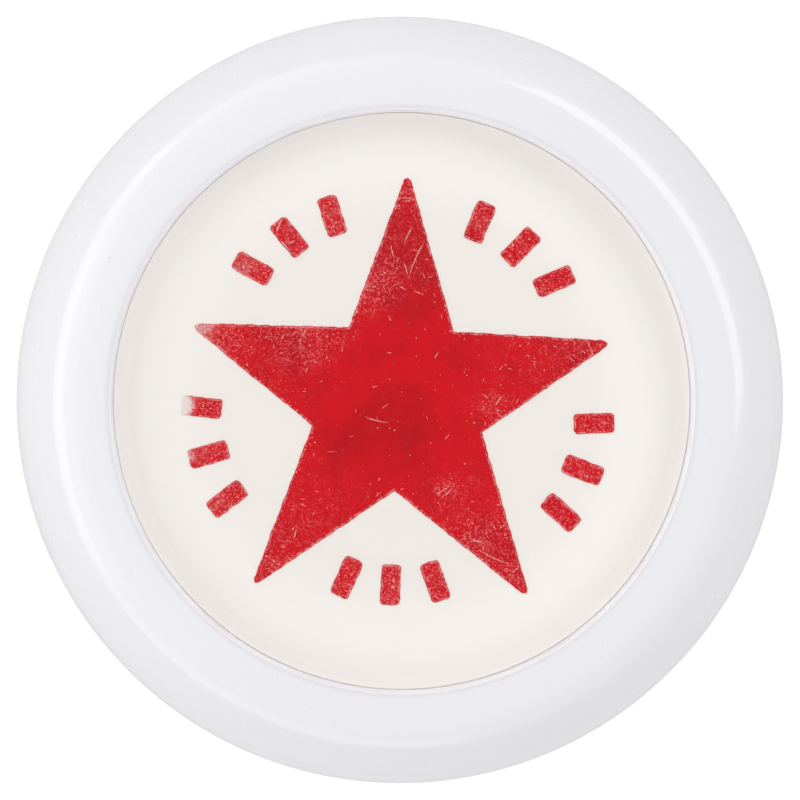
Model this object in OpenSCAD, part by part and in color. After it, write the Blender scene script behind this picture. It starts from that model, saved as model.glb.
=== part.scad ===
// Round pre-inked hand stamp with a spring-loaded skirt, standing in its dust cap.
// Origin: centre of the cap's flat underside. +Z is up, +Y is the top of the printed design.
// The press stroke pushes the knob, with everything that hangs from it, down through the skirt.

/* [Knob] */
// Outer diameter of the knob
knob_d = 40; // [38.5:0.5:42]
// Rounding radius of the soft edge round the top of the knob
rim_round = 1.6; // [1.2:0.1:2]
// Height of the whole stamp, from the table to the top of the knob
stamp_h = 52; // [51.5:0.5:56]
// Diameter of the clear index window
window_d = 29.9; // [29.5:0.1:30]
// Thickness of the clear index window
window_t = 1.6; // [1.2:0.1:1.7]

/* [Printed design] */
// Distance from the star's centre to the point of its top arm
star_r = 12; // [9:0.1:12.1]
// Distance of the star's inner corners, as a share of that of its points
star_waist = 0.385; // [0.3:0.005:0.45]
// Turn of the whole design, in degrees clockwise
design_turn = 2.4; // [0:0.1:10]
// Distance from the star's centre to the middle of its ray marks
ray_out = 10.2; // [9.9:0.1:10.5]
// Length of one ray mark
ray_l = 2.1; // [1:0.1:2.4]
// Width of one ray mark
ray_w = 1.05; // [0.6:0.05:1.3]
// Angle between the directions of neighbouring ray marks
ray_fan = 22; // [14:0.5:24]

/* [Action] */
// Travel of the knob from rest to the paper
stroke = 5; // [3:0.5:5]
// Diameter of the spring's wire
spring_wire = 0.9; // [0.6:0.1:1]
// Number of turns in the spring
spring_turns = 8; // [6:1:9]

/* [Skirt and cap] */
// Diameter of the skirt at its widest
skirt_d = 36.8; // [36.6:0.1:37.2]
// Height of the dust cap
cap_h = 10.8; // [8:0.2:10.8]
// Number of grip flutes round the dust cap
flute_count = 40; // [20:2:60]

/* [Hidden] */

round_fn = 96;
arc_steps = 10;
fillet_steps = 4;
eps = 0.01;

// Colours
gloss_white = [0.93, 0.93, 0.95];
inner_white = [0.85, 0.86, 0.86];
cream = [0.94, 0.92, 0.90];
ink_red = [0.80, 0.10, 0.14];
felt_red = [0.45, 0.04, 0.07];
soft_grey = [0.62, 0.63, 0.65];
steel = [0.72, 0.72, 0.74];
clear = [0.90, 0.95, 0.97, 0.4];

// Heights above the table. The foot is the plane that meets the paper.
foot_z = 2;
cap_floor_z = 1.2;
cap_hollow_z = 0.3;
foot_ring_t = 1;
shell_low_z = foot_z + foot_ring_t;
relief_h = 1.4;
die_base_t = 2.2;
die_face_z = foot_z + stroke;
die_base_z = die_face_z + relief_h;
reservoir_z = die_base_z + die_base_t;
reservoir_t = 6;
feed_plate_z = reservoir_z + reservoir_t;
feed_plate_t = 1.2;
cup_ceiling_z = feed_plate_z + feed_plate_t;
shoulder_z = cup_ceiling_z + 1.6;
bumper_t = 0.75;
web_z = shoulder_z + 0.8;
web_t = 2.2;
web_top_z = web_z + web_t;
seat_t = 0.4;
neck_end_z = web_top_z + stroke + 0.6;
bush_z = neck_end_z + 0.4;
shell_top_z = bush_z + 3.2;
bush_body_t = 2;
bush_top_z = shell_top_z + 0.3;

// The knob's profile is three arcs from the window outwards: a nearly flat land, the soft edge
// and the bulging flank. Slopes are in degrees below level.
land_slope = 3;
edge_slope = 12;
flank_slope = 50;
land_round = 11;
land_r = window_d / 2 + 0.45;
land_start = [land_r, stamp_h];
edge_start = along(land_start, land_round, land_slope, edge_slope);
flank_start = along(edge_start, rim_round, edge_slope, flank_slope);
flank_round = (knob_d / 2 - flank_start[0]) / (1 - sin(flank_slope));
flank_centre_r = knob_d / 2 - flank_round;
rim_z = along(flank_start, flank_round, flank_slope, 90)[1];

// Heights of the knob, worked down from its top
recess_floor_z = stamp_h - 2.1;
deck_low_z = recess_floor_z - 1.8;
split_z = rim_z - 2;
under_round = 4.6;
under_z = split_z - 0.4;
knob_low_z = under_z - under_round;
flange_top_z = knob_low_z + 1.6;
head_seat_z = recess_floor_z - 2.4;
piston_top_z = head_seat_z - 1.8;

// Radii, from the centre outwards
window_r = window_d / 2;
recess_r = window_r + 0.1;
knob_r = knob_d / 2;
wall = 1.65;
knob_in_r = knob_r - wall;
flank_in_round = flank_round - wall;
under_centre_r = knob_r - under_round;
under_in_round = under_round - 1.6;
neck_r = 15;
neck_in_r = 13.9;
well_r = 9;
stem_r = 11;
key_r = 11.8;
key_w = 3;
die_r = 13.05;
die_window_r = 12.65;
cup_in_r = 13.1;
spigot_r = 14.1;
cup_r = 15;
sleeve_in_r = 15.35;
sleeve_r = 16.45;
shell_in_r = 16.5;
shell_low_r = 17.8;
shell_r = skirt_d / 2;
shell_top_r = shell_r - 0.9;
cap_in_r = 17.9;
cap_r = 19.1;
spring_r = 12.9;
key_gap = 0.15;
neck_gap = 0.12;

// Fasteners and small holes
screw_r = 1.5;
screw_core_r = 1.2;
screw_pitch = 1;
screw_l = 10;
head_r = 2.9;
head_h = 1.6;
head_round = 0.8;
washer_r = 3.6;
washer_t = 0.5;
refill_r = 1.6;
refill_flange_r = 2;
refill_ring_r = 7.3;
feed_hole_r = 0.7;

// Points along an arc about [cx, cz], from angle a0 to angle a1
function arc(cx, cz, r, a0, a1, steps = arc_steps) =
    [for (i = [0 : steps]) let (a = a0 + (a1 - a0) * i / steps) [cx + r * cos(a), cz + r * sin(a)]];

// The end of an arc that starts at p and turns from slope s0 to slope s1
function along(p, r, s0, s1) = p + r * [sin(s1) - sin(s0), cos(s1) - cos(s0)];

// Points along that arc, listed from its outer, lower end back to its start
function slope_arc(p, r, s0, s1, steps = arc_steps) =
    [for (i = [0 : steps - 1]) along(p, r, s0, s1 + (s0 - s1) * i / steps)];

// A solid of revolution from an outline of [radius, height] points
module turned(points) {
    rotate_extrude($fn = round_fn) polygon(points);
}

// A flat ring between two radii and two heights
module ring(r_in, r_out, z0, z1) {
    turned([[r_in, z0], [r_out, z0], [r_out, z1], [r_in, z1]]);
}

// A plain upright pin or hole
module post(r, z0, z1) {
    translate([0, 0, z0]) cylinder(r = r, h = z1 - z0, $fn = round_fn);
}

// A block centred on the Y axis' line, reaching out from r0 to r1 at angle a
module spoke(a, r0, r1, width, z0, z1) {
    rotate([0, 0, a]) translate([r0, -width / 2, z0]) cube([r1 - r0, width, z1 - z0]);
}

// ---- The printed design: a five-pointed star with three ray marks in each gap ----

// The star's two lower arms are this share longer than star_r, and its two side arms shorter
leg_stretch = 0.03;
tip_cut = 0.35;

function polar(r, a) = [r * cos(a), r * sin(a)];
function arm_share(i) = i == 0 ? 1 : i == 2 || i == 3 ? 1 + leg_stretch : 1 - leg_stretch;
function star_tip(i) = polar(star_r * arm_share(i), 90 - design_turn - 72 * i);
function star_inner(i) = polar(star_r * star_waist, 54 - design_turn - 72 * i);
function towards(p, q, reach) = p + (q - p) * reach / norm(q - p);

// Each point of the star is cut off a little way back along both its sides
function star_points() =
    [for (i = [0 : 4], side = [0 : 2])
        side == 0 ? towards(star_tip(i), star_inner((i + 4) % 5), tip_cut) :
        side == 1 ? towards(star_tip(i), star_inner(i), tip_cut) : star_inner(i)];

// Outline of one ray mark with rounded corners, lying along +X and centred on the origin
ray_corner = 0.28;
function ray_points() = concat(
    arc(ray_l / 2 - ray_corner, ray_w / 2 - ray_corner, ray_corner, 0, 90, 3),
    arc(-ray_l / 2 + ray_corner, ray_w / 2 - ray_corner, ray_corner, 90, 180, 3),
    arc(-ray_l / 2 + ray_corner, -ray_w / 2 + ray_corner, ray_corner, 180, 270, 3),
    arc(ray_l / 2 - ray_corner, -ray_w / 2 + ray_corner, ray_corner, 270, 360, 3));

// The marks of a group stand ray_step apart about the star's centre. The lowest group lies further in,
// and the marks of the two upper groups lean outwards, away from the star's top arm.
ray_step = 14;
low_group_in = 0.7;
upper_lean = 6;
function group_out(group) = group == 2 ? ray_out - low_group_in : ray_out;
function group_lean(group) = group == 0 ? -upper_lean : group == 4 ? upper_lean : 0;

module design(h) {
    linear_extrude(h) polygon(star_points());
    for (group = [0 : 4], mark = [-1 : 1])
        rotate([0, 0, 54 - design_turn - 72 * group + ray_step * mark])
            translate([group_out(group), 0, 0])
                rotate([0, 0, group_lean(group) + (ray_fan - ray_step) * mark])
                    linear_extrude(h) polygon(ray_points());
}

// ---- Dust cap ----

flute_r = 0.6;
flute_depth = 0.22;

module dust_cap() {
    color(clear) difference() {
        turned(concat(
            [[0, cap_hollow_z], [13, cap_hollow_z], [13.4, 0]],
            arc(cap_r - 0.9, 0.9, 0.9, -90, 0, fillet_steps),
            arc(cap_r - 0.5, cap_h - 0.5, 0.5, 0, 90, fillet_steps),
            arc(cap_in_r + 0.3, cap_h - 0.3, 0.3, 90, 180, fillet_steps),
            [[cap_in_r, foot_z], [15.2, foot_z], [15, cap_floor_z], [0, cap_floor_z]]));
        for (i = [0 : flute_count - 1])
            rotate([0, 0, 360 * i / flute_count])
                translate([cap_r + flute_r - flute_depth, 0, foot_z + 0.4])
                    cylinder(r = flute_r, h = cap_h - foot_z - 2.2, $fn = 24);
    }
}

// ---- Skirt: outer shell, guide sleeve, neck bush and foot ring ----

shoulder_round = 2.2;
lip_r = 15.6;
lip_t = 1.2;
step_z = cap_h + 0.4;

module skirt_shell() {
    color(gloss_white) {
        turned(concat(
            [[shell_in_r, shell_low_z], [shell_low_r, shell_low_z], [shell_low_r, step_z - 0.2],
             [shell_low_r + 0.1, step_z], [shell_r - 0.3, step_z], [shell_r, step_z + 0.3]],
            arc(shell_top_r - shoulder_round, shell_top_z - shoulder_round, shoulder_round, 0, 82),
            [[lip_r, shell_top_z], [lip_r, shell_top_z - lip_t], [shell_in_r, shell_top_z - lip_t]]));
        orientation_mark();
    }
}

// Raised arrowhead on the front of the shell, pointing at the foot of the design
mark_h = 4.2;
mark_w = 4.6;
mark_z = 19;
module orientation_mark() {
    intersection() {
        rotate([90, 0, 0]) translate([0, 0, shell_in_r + 0.6]) linear_extrude(4)
            polygon([[-mark_w / 2, mark_z], [mark_w / 2, mark_z], [0, mark_z + mark_h]]);
        turned([[shell_in_r + 0.6, mark_z - 1], [shell_r, mark_z - 1],
                [shell_r - 0.2, mark_z + mark_h + 1], [shell_in_r + 0.6, mark_z + mark_h + 1]]);
    }
}

module guide_sleeve() {
    color(inner_white) difference() {
        union() {
            ring(sleeve_in_r, sleeve_r, shell_low_z, bush_z);
            ring(stem_r + key_gap, sleeve_in_r + eps, web_z, web_top_z);
        }
        for (a = [90, 270])
            spoke(a, stem_r - 1, key_r + key_gap + 0.05, key_w + 2 * key_gap, web_z - 1, web_top_z + 1);
        // Drain slots in the web
        for (a = [30, 150, 210, 330])
            spoke(a, 14.1, sleeve_in_r - 0.2, 3, web_z - 1, web_top_z + 1);
    }
}

module neck_bush() {
    color(soft_grey)
        turned([[neck_r + neck_gap, bush_z], [sleeve_r, bush_z], [sleeve_r, bush_z + bush_body_t],
                [lip_r - 0.05, bush_z + bush_body_t], [lip_r - 0.05, bush_top_z - 0.15],
                [lip_r - 0.2, bush_top_z], [neck_r + neck_gap + 0.15, bush_top_z],
                [neck_r + neck_gap, bush_top_z - 0.15]]);
}

module foot_ring() {
    color(soft_grey)
        turned(concat(
            [[15.45, shell_low_z], [15.45, foot_z + 0.3], [15.75, foot_z]],
            arc(17.3, foot_z + 0.4, 0.4, -90, 0, fillet_steps), [[17.7, shell_low_z]]));
}

// ---- Spring and its two seats ----

seat_in_r = 12.3;
seat_out_r = 13.75;

module spring_seat_lower() {
    color(steel) ring(seat_in_r, seat_out_r, web_top_z, web_top_z + seat_t);
}

module spring_seat_upper() {
    color(steel) ring(seat_in_r, seat_out_r, knob_low_z - seat_t, knob_low_z);
}

// Compression spring with closed ends, swept as one tube along its helix
spring_low_z = web_top_z + seat_t + spring_wire / 2 + 0.02;
spring_high_z = knob_low_z - seat_t - spring_wire / 2 - 0.04;
wire_sides = 8;
steps_per_turn = 20;
end_turns = 1;
end_pitch = spring_wire * 1.04;

function spring_z(t) =
    let (free = spring_high_z - spring_low_z - 2 * end_turns * end_pitch,
         middle = spring_turns - 2 * end_turns)
    t < end_turns ? spring_low_z + end_pitch * t :
    t > spring_turns - end_turns ? spring_high_z - end_pitch * (spring_turns - t) :
    spring_low_z + end_pitch * end_turns + free * (t - end_turns) / middle;

module return_spring() {
    rings = spring_turns * steps_per_turn;
    points = [for (i = [0 : rings], s = [0 : wire_sides - 1])
        let (t = i / steps_per_turn, a = 360 * t, b = 360 * s / wire_sides,
             r = spring_r + spring_wire / 2 * cos(b))
        [r * cos(a), r * sin(a), spring_z(t) + spring_wire / 2 * sin(b)]];
    skin = [for (i = [0 : rings - 1], s = [0 : wire_sides - 1])
        let (n = (s + 1) % wire_sides, low = i * wire_sides, high = low + wire_sides)
        [low + s, high + s, high + n, low + n]];
    first_end = [[for (s = [0 : wire_sides - 1]) s]];
    last_end = [[for (s = [wire_sides - 1 : -1 : 0]) rings * wire_sides + s]];
    color(steel) polyhedron(points, concat(skin, first_end, last_end), convexity = 6);
}

// ---- Knob: crown above the parting line, base with the neck below it ----

seam = 0.15;
groove_depth = 0.2;
hub_r = 13.6;
boss_r = 5;
counterbore_r = 4;
rib_t = 1;

module knob_crown() {
    hollow_angle = 38;
    hollow_in_r = recess_r + 1.3;
    rib_low_z = split_z + 2.1;
    color(gloss_white) difference() {
        union() {
            turned(concat(
                [[0, recess_floor_z], [0, deck_low_z], [hollow_in_r, deck_low_z],
                 [hollow_in_r, rim_z + flank_in_round * sin(hollow_angle)]],
                arc(flank_centre_r, rim_z, flank_in_round, hollow_angle, 0),
                [[knob_in_r, split_z], [knob_r - seam, split_z], [knob_r, split_z + seam]],
                slope_arc(flank_start, flank_round, flank_slope, 90, 2 * arc_steps),
                slope_arc(edge_start, rim_round, edge_slope, flank_slope),
                slope_arc(land_start, land_round, land_slope, edge_slope),
                [land_start],
                arc(recess_r + 0.25, stamp_h - 0.25, 0.25, 90, 180, fillet_steps),
                [[recess_r, stamp_h - 0.9], [recess_r + groove_depth, stamp_h - 1.1],
                 [recess_r + groove_depth, stamp_h - 1.4], [recess_r, stamp_h - 1.6],
                 [recess_r, recess_floor_z]]));
            ring(stem_r + 0.1, hub_r, flange_top_z, deck_low_z + eps);
            post(boss_r, piston_top_z, deck_low_z + eps);
            for (i = [0 : 5]) {
                spoke(30 + 60 * i, hub_r - 0.3, knob_in_r + 0.3, rib_t, rib_low_z, deck_low_z + eps);
                spoke(30 + 60 * i, boss_r - 0.3, stem_r + 0.4, rib_t, piston_top_z + 1.2, deck_low_z + eps);
            }
        }
        post(counterbore_r, head_seat_z, stamp_h);
        post(screw_r + 0.2, piston_top_z - 1, stamp_h);
        for (a = [90, 270])
            spoke(a, stem_r - 1, key_r + 0.2, key_w + 0.2, flange_top_z - 1, piston_top_z + 0.4);
    }
}

module knob_base() {
    lap_r = knob_in_r - 0.05;
    lap_angle = 50;
    color(gloss_white) turned(concat(
        [[neck_in_r, neck_end_z], [neck_r - 0.3, neck_end_z], [neck_r, neck_end_z + 0.3],
         [neck_r, knob_low_z - 0.4]],
        arc(under_centre_r, under_z, under_round, -90, 0),
        [[knob_r, split_z - seam], [knob_r - seam, split_z], [lap_r, split_z],
         [lap_r, split_z + 1.6], [lap_r - 0.3, split_z + 1.9], [lap_r - 1, split_z + 1.9],
         [lap_r - 1, under_z - under_in_round * sin(lap_angle)]],
        arc(under_centre_r, under_z, under_in_round, -lap_angle, -90),
        [[key_r + 0.3, flange_top_z], [key_r + 0.3, knob_low_z], [neck_in_r, knob_low_z]]));
}

// ---- Index card, its print and the clear window over them ----

card_t = 0.3;
card_z = recess_floor_z + 0.02;
print_t = 0.05;

module index_card() {
    color(cream) post(window_r - 0.1, card_z, card_z + card_t);
}

module index_print() {
    color(ink_red) translate([0, 0, card_z + card_t]) design(print_t);
}

lens_top_z = stamp_h - 0.05;
lens_bevel_w = 0.75;
lens_bevel_h = 0.4;
bead = 0.13;

module index_lens() {
    low = lens_top_z - window_t;
    color(clear) turned([
        [0, low], [window_r - 0.25, low], [window_r, low + 0.25],
        [window_r, stamp_h - 1.55], [window_r + bead, stamp_h - 1.35],
        [window_r + bead, stamp_h - 1.15], [window_r, stamp_h - 0.95],
        [window_r, lens_top_z - lens_bevel_h], [window_r - 0.2, lens_top_z - lens_bevel_h / 2],
        [window_r - lens_bevel_w, lens_top_z], [0, lens_top_z]]);
}

// ---- Screw and washer that hold the knob on the piston ----

module knob_screw() {
    low = head_seat_z + washer_t - screw_l;
    crests = [for (i = [0 : floor(screw_l / screw_pitch) - 3], side = [0, 1])
        [side == 0 ? screw_core_r : screw_r, low + 1.2 + i * screw_pitch + side * screw_pitch * 0.5]];
    head_z = head_seat_z + washer_t;
    color(steel) difference() {
        turned(concat(
            [[0, low], [0.6, low], [screw_core_r, low + 0.6]], crests,
            [[screw_core_r, head_z - 0.6], [screw_r, head_z - 0.3], [screw_r, head_z],
             [head_r, head_z]],
            arc(head_r - head_round, head_z + head_h - head_round, head_round, 0, 90, fillet_steps),
            [[0, head_z + head_h]]));
        for (a = [0, 90])
            rotate([0, 0, a + 20]) translate([-1.5, -0.3, head_z + 0.4]) cube([3, 0.6, head_h]);
    }
}

module screw_washer() {
    color(steel) ring(screw_r + 0.15, washer_r, head_seat_z, head_seat_z + washer_t);
}

// ---- Piston: a cup that holds the ink block and die, with a hollow stem as the ink well ----

module piston() {
    boss_low_z = piston_top_z - 9;
    pilot_low_z = piston_top_z - 8;
    color(inner_white) difference() {
        union() {
            turned([[cup_in_r, die_base_z + 0.05], [spigot_r - 0.2, die_base_z + 0.05],
                    [spigot_r, die_base_z + 0.25], [spigot_r, die_base_z + 3.6], [cup_r, die_base_z + 3.6],
                    [cup_r, shoulder_z - 0.3], [cup_r - 0.3, shoulder_z], [stem_r, shoulder_z],
                    [stem_r, piston_top_z - 0.3], [stem_r - 0.3, piston_top_z], [0, piston_top_z],
                    [0, piston_top_z - 2], [well_r, piston_top_z - 2], [well_r, cup_ceiling_z],
                    [cup_in_r, cup_ceiling_z]]);
            post(3, boss_low_z, piston_top_z - 1);
            for (a = [45 : 90 : 315]) spoke(a, 2.5, well_r + 0.5, 1.2, piston_top_z - 6, piston_top_z - 1);
            for (a = [90, 270]) spoke(a, stem_r - 0.5, key_r, key_w, shoulder_z - 0.5, piston_top_z);
        }
        post(screw_core_r + 0.05, pilot_low_z, stamp_h);
        for (side = [-1, 1]) translate([side * refill_ring_r, 0, 0])
            post(refill_r, piston_top_z - 3, stamp_h);
    }
}

module refill_plugs() {
    color(soft_grey) for (side = [-1, 1]) translate([side * refill_ring_r, 0, 0])
        turned([[0, piston_top_z - 2.6], [refill_r - 0.4, piston_top_z - 2.6],
                [refill_r - 0.02, piston_top_z - 1.6], [refill_r - 0.02, piston_top_z],
                [refill_flange_r, piston_top_z], [refill_flange_r, piston_top_z + 0.5],
                [refill_flange_r - 0.3, piston_top_z + 0.8], [0, piston_top_z + 0.8]]);
}

module stop_bumper() {
    color(soft_grey) turned([
        [key_r + 0.2, shoulder_z], [14.6, shoulder_z], [14.6, shoulder_z + bumper_t - 0.2],
        [14.4, shoulder_z + bumper_t], [key_r + 0.4, shoulder_z + bumper_t],
        [key_r + 0.2, shoulder_z + bumper_t - 0.2]]);
}

// ---- Ink path and die ----

module feed_plate() {
    color(inner_white) difference() {
        post(die_r, feed_plate_z, feed_plate_z + feed_plate_t);
        post(feed_hole_r, feed_plate_z - 1, feed_plate_z + feed_plate_t + 1);
        for (circle_no = [1, 2], i = [0 : 6 * circle_no - 1])
            rotate([0, 0, 60 * i / circle_no]) translate([3.6 * circle_no, 0, 0])
                post(feed_hole_r, feed_plate_z - 1, feed_plate_z + feed_plate_t + 1);
    }
}

module ink_reservoir() {
    color(felt_red) turned([
        [0, reservoir_z], [die_r - 0.2, reservoir_z], [die_r, reservoir_z + 0.2],
        [die_r, feed_plate_z - 0.2], [die_r - 0.2, feed_plate_z], [0, feed_plate_z]]);
}

module stamp_die() {
    color(ink_red) {
        post(die_r, die_base_z, reservoir_z);
        translate([0, 0, die_face_z]) design(relief_h + eps);
    }
}

module die_collar() {
    low = die_base_z - 0.8;
    high = die_base_z + 3.5;
    color(inner_white) difference() {
        turned([[die_window_r + 0.4, low], [cup_r - 0.4, low], [cup_r, low + 0.4], [cup_r, high],
                [spigot_r + 0.05, high], [spigot_r + 0.05, die_base_z], [die_window_r, die_base_z],
                [die_window_r, low + 0.4]]);
        // Three slots let the collar spring over the piston's spigot
        for (a = [90, 210, 330]) spoke(a, spigot_r - 0.5, cup_r + 1, 1.2, die_base_z + 1.4, high + 1);
    }
}

dust_cap();
skirt_shell();
guide_sleeve();
neck_bush();
foot_ring();
spring_seat_lower();
return_spring();
knob_crown();
knob_base();
index_card();
index_print();
index_lens();
knob_screw();
screw_washer();
spring_seat_upper();
piston();
refill_plugs();
stop_bumper();
feed_plate();
ink_reservoir();
stamp_die();
die_collar();
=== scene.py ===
"""Looks for a round pre-inked craft stamp that stands in its dust cap.

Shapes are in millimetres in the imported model's own frame, with +Z up and +Y towards the top of the design.
Turned pieces are drawn as outlines of (radius, height) points and revolved; the camera looks almost
straight down.
"""

import math
import random

import bmesh
import bpy
from mathutils import Matrix, Vector, geometry, noise


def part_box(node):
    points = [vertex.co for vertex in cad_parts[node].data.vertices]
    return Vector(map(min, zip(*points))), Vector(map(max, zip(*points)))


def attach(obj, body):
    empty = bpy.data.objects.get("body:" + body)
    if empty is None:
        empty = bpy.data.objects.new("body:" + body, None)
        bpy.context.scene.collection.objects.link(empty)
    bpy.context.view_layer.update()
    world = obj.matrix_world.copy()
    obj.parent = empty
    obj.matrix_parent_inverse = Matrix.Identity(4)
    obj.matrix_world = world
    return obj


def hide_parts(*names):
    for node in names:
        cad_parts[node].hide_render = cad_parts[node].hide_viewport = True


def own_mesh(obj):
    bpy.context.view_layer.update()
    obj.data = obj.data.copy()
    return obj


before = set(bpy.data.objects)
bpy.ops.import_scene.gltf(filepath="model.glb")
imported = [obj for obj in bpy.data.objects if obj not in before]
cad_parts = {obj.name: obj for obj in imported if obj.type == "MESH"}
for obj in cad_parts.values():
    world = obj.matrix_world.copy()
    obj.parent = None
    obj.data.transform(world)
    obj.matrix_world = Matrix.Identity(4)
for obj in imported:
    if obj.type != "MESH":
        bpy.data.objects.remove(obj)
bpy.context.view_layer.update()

MM = 0.001
ROUND_STEPS = 192


# ---------------------------------------------------------------- mesh helpers


def span(node):
    """Lowest and highest height of a CAD node, and its largest radius, in mm."""
    low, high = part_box(node)
    return low.z / MM, high.z / MM, high.x / MM


def finish_mesh(name, bm, material, body, replaced=(), sharp_deg=38):
    """Turns a bmesh into a piece that rides on a body and stands for CAD nodes."""
    bmesh.ops.recalc_face_normals(bm, faces=bm.faces)
    mesh = bpy.data.meshes.new(name)
    bm.to_mesh(mesh)
    bm.free()
    mesh.shade_smooth()
    mesh.set_sharp_from_angle(angle=math.radians(sharp_deg))
    piece = bpy.data.objects.new(name, mesh)
    bpy.context.scene.collection.objects.link(piece)
    for m in material if isinstance(material, (list, tuple)) else [material]:
        mesh.materials.append(m)
    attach(piece, body)
    if replaced:
        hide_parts(*replaced)
    return piece


def soften(corners, steps=6):
    """Outline points from corners (radius, height, rounding): each corner becomes an arc of its rounding."""
    points = []
    count = len(corners)
    for i, (x, y, rounding) in enumerate(corners):
        here = Vector((x, y))
        if rounding == 0:
            points.append((x, y))
            continue
        to_last = Vector(corners[i - 1][:2]) - here
        to_next = Vector(corners[(i + 1) % count][:2]) - here
        half = to_last.angle(to_next) / 2
        reach = min(rounding / math.tan(half), 0.49 * to_last.length, 0.49 * to_next.length)
        radius = reach * math.tan(half)
        centre = here + (to_last.normalized() + to_next.normalized()).normalized() * (radius / math.sin(half))
        start = here + to_last.normalized() * reach - centre
        turn = start.angle_signed(here + to_next.normalized() * reach - centre)
        for k in range(steps + 1):
            angle = -turn * k / steps
            c, s = math.cos(angle), math.sin(angle)
            points.append((centre.x + start.x * c - start.y * s, centre.y + start.x * s + start.y * c))
    return points


def turned(outline, steps=ROUND_STEPS):
    """A closed outline of (radius, height) points in mm, revolved about the Z axis."""
    bm = bmesh.new()
    rings = []
    for r, z in outline:
        if r < 1e-6:
            rings.append([bm.verts.new((0, 0, z * MM))])
            continue
        angles = [2 * math.pi * k / steps for k in range(steps)]
        rings.append([bm.verts.new((r * math.cos(a) * MM, r * math.sin(a) * MM, z * MM)) for a in angles])
    for low, high in zip(rings, rings[1:] + rings[:1]):
        for k in range(steps):
            corners = [low[k % len(low)], low[(k + 1) % len(low)]]
            corners += [high[(k + 1) % len(high)], high[k % len(high)]]
            corners = list(dict.fromkeys(corners))
            if len(corners) > 2:
                bm.faces.new(corners)
    return bm


def prism(bm, points, z0, z1):
    """An upright prism over a flat outline of (x, y) points, all in mm."""
    low = [bm.verts.new((x * MM, y * MM, z0 * MM)) for x, y in points]
    high = [bm.verts.new((x * MM, y * MM, z1 * MM)) for x, y in points]
    bm.faces.new(list(reversed(low)))
    bm.faces.new(high)
    for k in range(len(points)):
        n = (k + 1) % len(points)
        bm.faces.new([low[k], low[n], high[n], high[k]])


def slope_arc(start, radius, slope0, slope1, steps):
    """Points of an outline that starts at start and bends from slope0 to slope1, in degrees below level."""
    a0 = math.radians(slope0)
    points = []
    for k in range(steps + 1):
        a = a0 + (math.radians(slope1) - a0) * k / steps
        across, down = math.sin(a) - math.sin(a0), math.cos(a) - math.cos(a0)
        points.append((start[0] + radius * across, start[1] + radius * down))
    return points


# ---------------------------------------------------------------- material helpers


class Surface:
    """One material's node tree. Its texture coordinates are the row frame's, in mm."""

    def __init__(self, name):
        self.material = bpy.data.materials.new(name)
        self.material.use_nodes = True
        self.tree = self.material.node_tree
        self.tree.nodes.clear()
        self.output = self.add("ShaderNodeOutputMaterial")
        place = self.add("ShaderNodeTexCoord").outputs["Object"]
        self.mm = self.add("ShaderNodeVectorMath", {0: place, "Scale": 1 / MM}, operation="SCALE").outputs[0]

    def add(self, kind, inputs=None, **settings):
        node = self.tree.nodes.new(kind)
        for key, value in settings.items():
            setattr(node, key, value)
        for key, value in (inputs or {}).items():
            if isinstance(value, bpy.types.NodeSocket):
                self.tree.links.new(value, node.inputs[key])
            else:
                node.inputs[key].default_value = value
        return node

    def placed(self, start=None, **settings):
        """Texture coordinates, in mm unless start is given, moved, turned or scaled by a Mapping node."""
        return self.add("ShaderNodeMapping", {"Vector": start or self.mm, **settings}).outputs[0]

    def noise(self, scale, detail=3.0, roughness=0.5, place=None):
        inputs = {"Vector": place or self.mm, "Scale": scale, "Detail": detail, "Roughness": roughness}
        return self.add("ShaderNodeTexNoise", inputs).outputs["Fac"]

    def voronoi(self, scale):
        return self.add("ShaderNodeTexVoronoi", {"Vector": self.mm, "Scale": scale}).outputs["Distance"]

    def math(self, operation, a, b=0.0, clamp=False):
        return self.add("ShaderNodeMath", {0: a, 1: b}, operation=operation, use_clamp=clamp).outputs[0]

    def between(self, value, low, high, out_low=0.0, out_high=1.0):
        """Value mapped smoothly from low..high to out_low..out_high."""
        inputs = {"Value": value, "From Min": low, "From Max": high, "To Min": out_low, "To Max": out_high}
        return self.add("ShaderNodeMapRange", inputs, interpolation_type="SMOOTHSTEP").outputs["Result"]

    def mix(self, share, a, b):
        """Colour a where share is 0 and colour b where it is 1."""
        node = self.add("ShaderNodeMix", {"Factor": share}, data_type="RGBA")
        for key, value in (("A", a), ("B", b)):
            socket = next(s for s in node.inputs if s.name == key and s.type == "RGBA")
            if isinstance(value, bpy.types.NodeSocket):
                self.tree.links.new(value, socket)
            else:
                socket.default_value = (*value, 1)
        return next(s for s in node.outputs if s.type == "RGBA")

    def bump(self, height, depth_mm, under=None):
        inputs = {"Height": height, "Distance": depth_mm * MM, "Strength": 1.0}
        if under:
            inputs["Normal"] = under
        return self.add("ShaderNodeBump", inputs).outputs["Normal"]

    def attribute(self, name):
        return self.add("ShaderNodeAttribute", attribute_name=name).outputs["Fac"]

    def shader(self, colour, roughness, normal=None, **more):
        inputs = {"Base Color": colour, "Roughness": roughness}
        if not isinstance(colour, bpy.types.NodeSocket):
            inputs["Base Color"] = (*colour, 1)
        if normal:
            inputs["Normal"] = normal
        inputs.update({key.replace("_", " "): value for key, value in more.items()})
        return self.add("ShaderNodeBsdfPrincipled", inputs).outputs[0]

    def done(self, shader):
        self.tree.links.new(shader, self.output.inputs["Surface"])
        return self.material


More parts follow.
